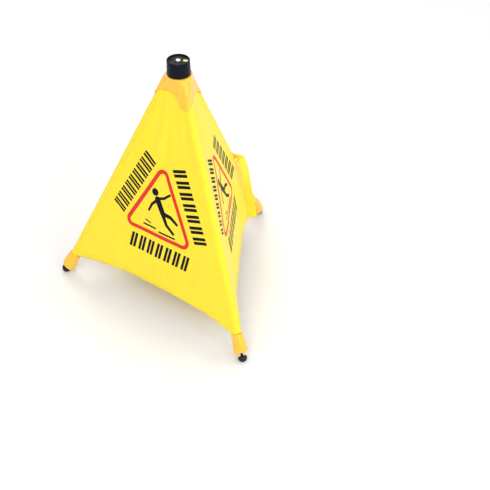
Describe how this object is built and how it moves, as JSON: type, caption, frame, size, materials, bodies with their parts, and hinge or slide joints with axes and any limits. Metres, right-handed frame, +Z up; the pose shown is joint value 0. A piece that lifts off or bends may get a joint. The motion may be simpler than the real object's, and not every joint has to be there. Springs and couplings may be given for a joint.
{
  "type": "wet floor sign",
  "caption": "Pop-up floor safety cone: a fabric pyramid on splayed sprung legs that fold up to a central hub under a round black cap.",
  "frame": {"origin": "on the floor, under the centre of the cap", "axes": "+Z up along the sign's axis; the front leg points along -Y, and the others lie 120 degrees either side of it"},
  "size_m": [0.4608, 0.4025, 0.508],
  "materials": {
    "yellow_fabric": "coated polyester cloth",
    "strap_webbing": "woven webbing",
    "amber_plastic": "smooth moulded gloss",
    "black_plastic": "satin moulded",
    "hub_plastic": "matte moulded",
    "key_plastic": "moulded gloss",
    "grey_rod": "drawn glass-fibre tube",
    "foot_rubber": "moulded rubber",
    "zinc_steel": "bright zinc",
    "spring_steel": "drawn wire"
  },
  "bodies": {
    "hub": {"hub_body": "hub_plastic", "crown_skirt": "amber_plastic", "top_cap": "black_plastic", "locating_key": "key_plastic", "guide_screw": "zinc_steel", "web_washer": "zinc_steel", "lock_nut": "zinc_steel", "hinge_pins": "zinc_steel", "main_spring": "spring_steel"},
    "plunger": {"plunger": "hub_plastic"},
    "leg_front": {"leg_head_front": "hub_plastic", "crank_pin_front": "zinc_steel", "leg_rivet_front": "zinc_steel", "leg_rod_front": "grey_rod", "leg_sleeve_front": "yellow_fabric", "foot_moulding_front": "amber_plastic", "foot_stem_front": "black_plastic", "foot_pad_front": "foot_rubber"},
    "leg_right": {"leg_head_right": "hub_plastic", "crank_pin_right": "zinc_steel", "leg_rivet_right": "zinc_steel", "leg_rod_right": "grey_rod", "leg_sleeve_right": "yellow_fabric", "foot_moulding_right": "amber_plastic", "foot_stem_right": "black_plastic", "foot_pad_right": "foot_rubber", "carry_strap": "strap_webbing"},
    "leg_left": {"leg_head_left": "hub_plastic", "crank_pin_left": "zinc_steel", "leg_rivet_left": "zinc_steel", "leg_rod_left": "grey_rod", "leg_sleeve_left": "yellow_fabric", "foot_moulding_left": "amber_plastic", "foot_stem_left": "black_plastic", "foot_pad_left": "foot_rubber"},
    "panel_front_left": {"fabric_panel_front_left": "yellow_fabric"},
    "panel_front_right": {"fabric_panel_front_right": "yellow_fabric"},
    "panel_back": {"fabric_panel_back": "yellow_fabric"}
  },
  "joints": [
    {"name": "leg_front_fold", "type": "hinge", "parent": "hub", "child": "leg_front", "pos_m": [0, -0.0205, 0.468], "axis": [1, 0, 0], "range_deg": [0, 26.8], "stiffness_Nm_per_rad": 0.68, "springref_deg": -60.16},
    {"name": "leg_right_fold", "type": "hinge", "parent": "hub", "child": "leg_right", "pos_m": [0.01775, 0.01025, 0.468], "axis": [-0.5, 0.866, 0], "range_deg": [0, 26.8]},
    {"name": "leg_left_fold", "type": "hinge", "parent": "hub", "child": "leg_left", "pos_m": [-0.01775, 0.01025, 0.468], "axis": [-0.5, -0.866, 0], "range_deg": [0, 26.8]},
    {"name": "plunger_slide", "type": "slide", "parent": "hub", "child": "plunger", "axis": [0, 0, 1], "range_m": [0, 0.0055], "deforming": ["main_spring"]},
    {"name": "panel_front_left_fold", "type": "hinge", "parent": "hub", "child": "panel_front_left", "pos_m": [-0.01751, -0.01011, 0.462], "axis": [0.5, -0.866, 0], "range_deg": [0, 13.6], "deforming": ["fabric_panel_front_left"]},
    {"name": "panel_front_right_fold", "type": "hinge", "parent": "hub", "child": "panel_front_right", "pos_m": [0.01751, -0.01011, 0.462], "axis": [0.5, 0.866, 0], "range_deg": [0, 13.6], "deforming": ["fabric_panel_front_right"]},
    {"name": "panel_back_fold", "type": "hinge", "parent": "hub", "child": "panel_back", "pos_m": [0, 0.02022, 0.462], "axis": [-1, 0, 0], "range_deg": [0, 13.6], "deforming": ["fabric_panel_back"]}
  ],
  "couplings": [
    {"joint": "leg_right_fold", "follows": "leg_front_fold", "ratio": 1},
    {"joint": "leg_left_fold", "follows": "leg_front_fold", "ratio": 1},
    {"joint": "plunger_slide", "follows": "leg_front_fold", "m_per_rad": 0.011395},
    {"joint": "panel_front_left_fold", "follows": "leg_front_fold", "ratio": 0.50698},
    {"joint": "panel_front_right_fold", "follows": "leg_front_fold", "ratio": 0.50698},
    {"joint": "panel_back_fold", "follows": "leg_front_fold", "ratio": 0.50698}
  ]
}
